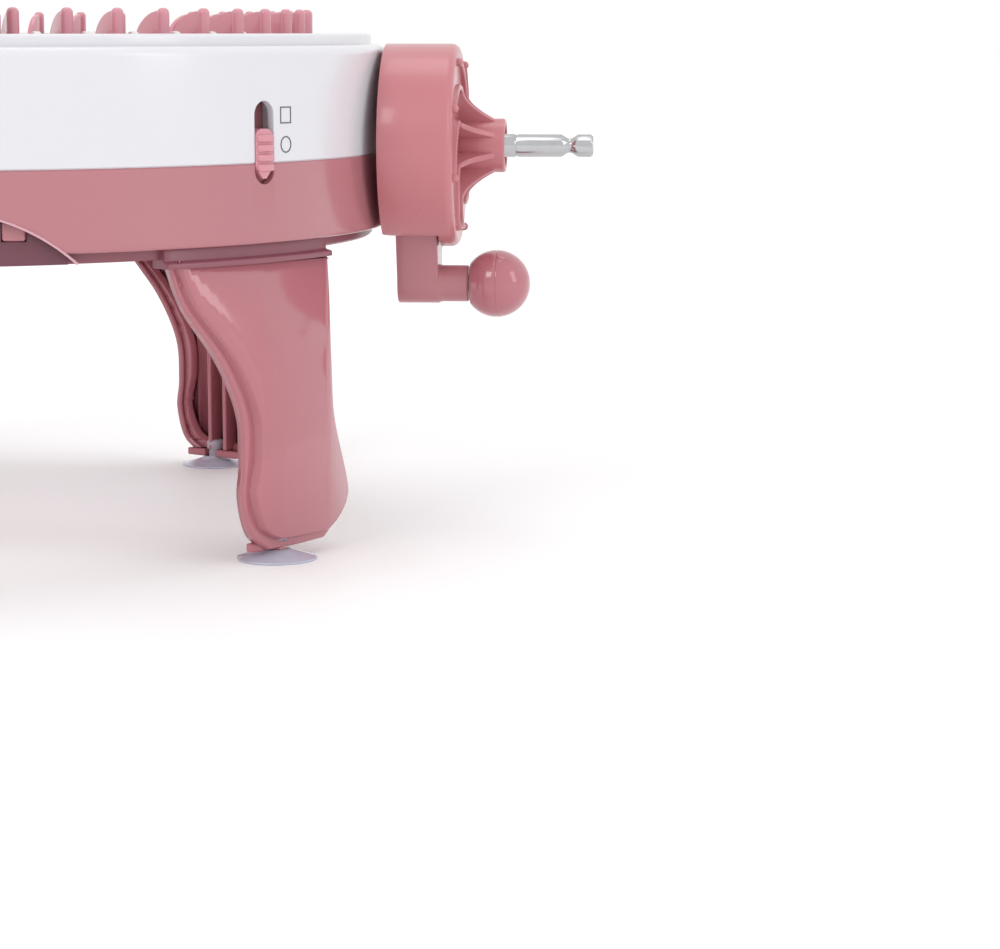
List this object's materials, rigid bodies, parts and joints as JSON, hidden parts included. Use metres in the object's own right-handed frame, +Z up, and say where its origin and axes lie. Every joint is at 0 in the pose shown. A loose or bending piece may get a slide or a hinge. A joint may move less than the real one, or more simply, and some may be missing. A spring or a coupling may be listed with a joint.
{
  "type": "circular knitting machine",
  "caption": "Round hand-cranked knitting machine on four curved legs with suction cups, with a ring of needles, a row counter and a drill adapter on its crank.",
  "frame": {"origin": "centre of the circle that the four suction cups stand on, on the drum's axis at the height of the table", "axes": "+Z up along the drum's axis; front, with the row counter and the arch, is -Y; the crank points to +X, 15 degrees towards the front"},
  "size_m": [0.362, 0.3, 0.1986],
  "materials": {
    "casing": "satin dusty rose moulding",
    "leg": "satin dusty rose moulding",
    "adapter": "satin dusty rose moulding",
    "cylinder": "satin dusty rose moulding",
    "base": "shaded dusty rose moulding",
    "collar": "pearl white moulding",
    "needle": "white moulding",
    "marker": "dark moulding",
    "cup": "soft translucent lilac",
    "steel": "turned and plated"
  },
  "bodies": {
    "root": {"upper_shell": "collar", "lower_shell": "casing", "top_collar": "collar", "base_plate": "base", "cam_ring": "collar", "raising_cam": "base", "bearing_bracket": "collar", "crank_bushing": "collar", "shell_screws": "steel", "counter_housing": "base", "counter_bezel": "base", "counter_shaft": "steel", "yarn_guide": "casing", "yarn_lever_pin": "steel", "switch_rails": "collar", "mode_marks": "collar", "leg_front_right": "leg", "leg_front_left": "leg", "leg_rear_right": "leg", "leg_rear_left": "leg", "suction_cups": "cup"},
    "cylinder": {"needle_cylinder": "cylinder", "ring_gear": "collar", "needle_retainer": "collar", "needles": "needle", "marker_needle": "marker"},
    "crank": {"crank_shaft": "steel", "drive_pinion": "collar", "crank_washer": "steel", "shaft_clip": "steel", "crank_arm": "casing", "knob_pin": "steel"},
    "knob": {"knob": "casing"},
    "adapter": {"adapter_cap": "adapter", "drill_shank": "steel", "adapter_nut": "steel"},
    "units": {"units_wheel": "collar"},
    "tens": {"tens_wheel": "collar"},
    "hundreds": {"hundreds_wheel": "collar"},
    "reset": {"reset_button": "casing"},
    "lever": {"yarn_lever": "collar"},
    "switch": {"switch_slider": "casing"}
  },
  "joints": [
    {"name": "cylinder_spin", "type": "hinge", "parent": "root", "child": "cylinder", "pos_m": [0, 0, 0.12], "axis": [0, 0, 1], "continuous": true},
    {"name": "crank_spin", "type": "hinge", "parent": "root", "child": "crank", "pos_m": [0.14489, -0.03882, 0.1245], "axis": [0.9659, -0.2588, 0], "continuous": true},
    {"name": "knob_spin", "type": "hinge", "parent": "crank", "child": "knob", "pos_m": [0.18063, -0.0484, 0.0795], "axis": [0.9659, -0.2588, 0], "continuous": true},
    {"name": "adapter_pull", "type": "slide", "parent": "crank", "child": "adapter", "axis": [0.9659, -0.2588, 0], "range_m": [0, 0.024]},
    {"name": "units_spin", "type": "hinge", "parent": "root", "child": "units", "pos_m": [0.008, -0.1394, 0.1052], "axis": [1, 0, 0], "continuous": true},
    {"name": "tens_spin", "type": "hinge", "parent": "root", "child": "tens", "pos_m": [0, -0.1394, 0.1052], "axis": [1, 0, 0], "continuous": true},
    {"name": "hundreds_spin", "type": "hinge", "parent": "root", "child": "hundreds", "pos_m": [-0.008, -0.1394, 0.1052], "axis": [1, 0, 0], "continuous": true},
    {"name": "reset_press", "type": "slide", "parent": "root", "child": "reset", "axis": [0, 1, 0], "range_m": [0, 0.0015], "stiffness_N_per_m": 150, "springref_m": -0.001},
    {"name": "lever_swing", "type": "hinge", "parent": "root", "child": "lever", "pos_m": [-0.006, -0.139, 0.18416], "axis": [0, 1, 0], "range_deg": [-35, 35]},
    {"name": "switch_slide", "type": "slide", "parent": "root", "child": "switch", "axis": [0, 0, 1], "range_m": [0, 0.007]}
  ],
  "couplings": [
    {"joint": "crank_spin", "follows": "cylinder_spin", "ratio": 10},
    {"joint": "units_spin", "follows": "cylinder_spin", "ratio": 0.1},
    {"joint": "tens_spin", "follows": "cylinder_spin", "ratio": 0.01},
    {"joint": "hundreds_spin", "follows": "cylinder_spin", "ratio": 0.001}
  ]
}
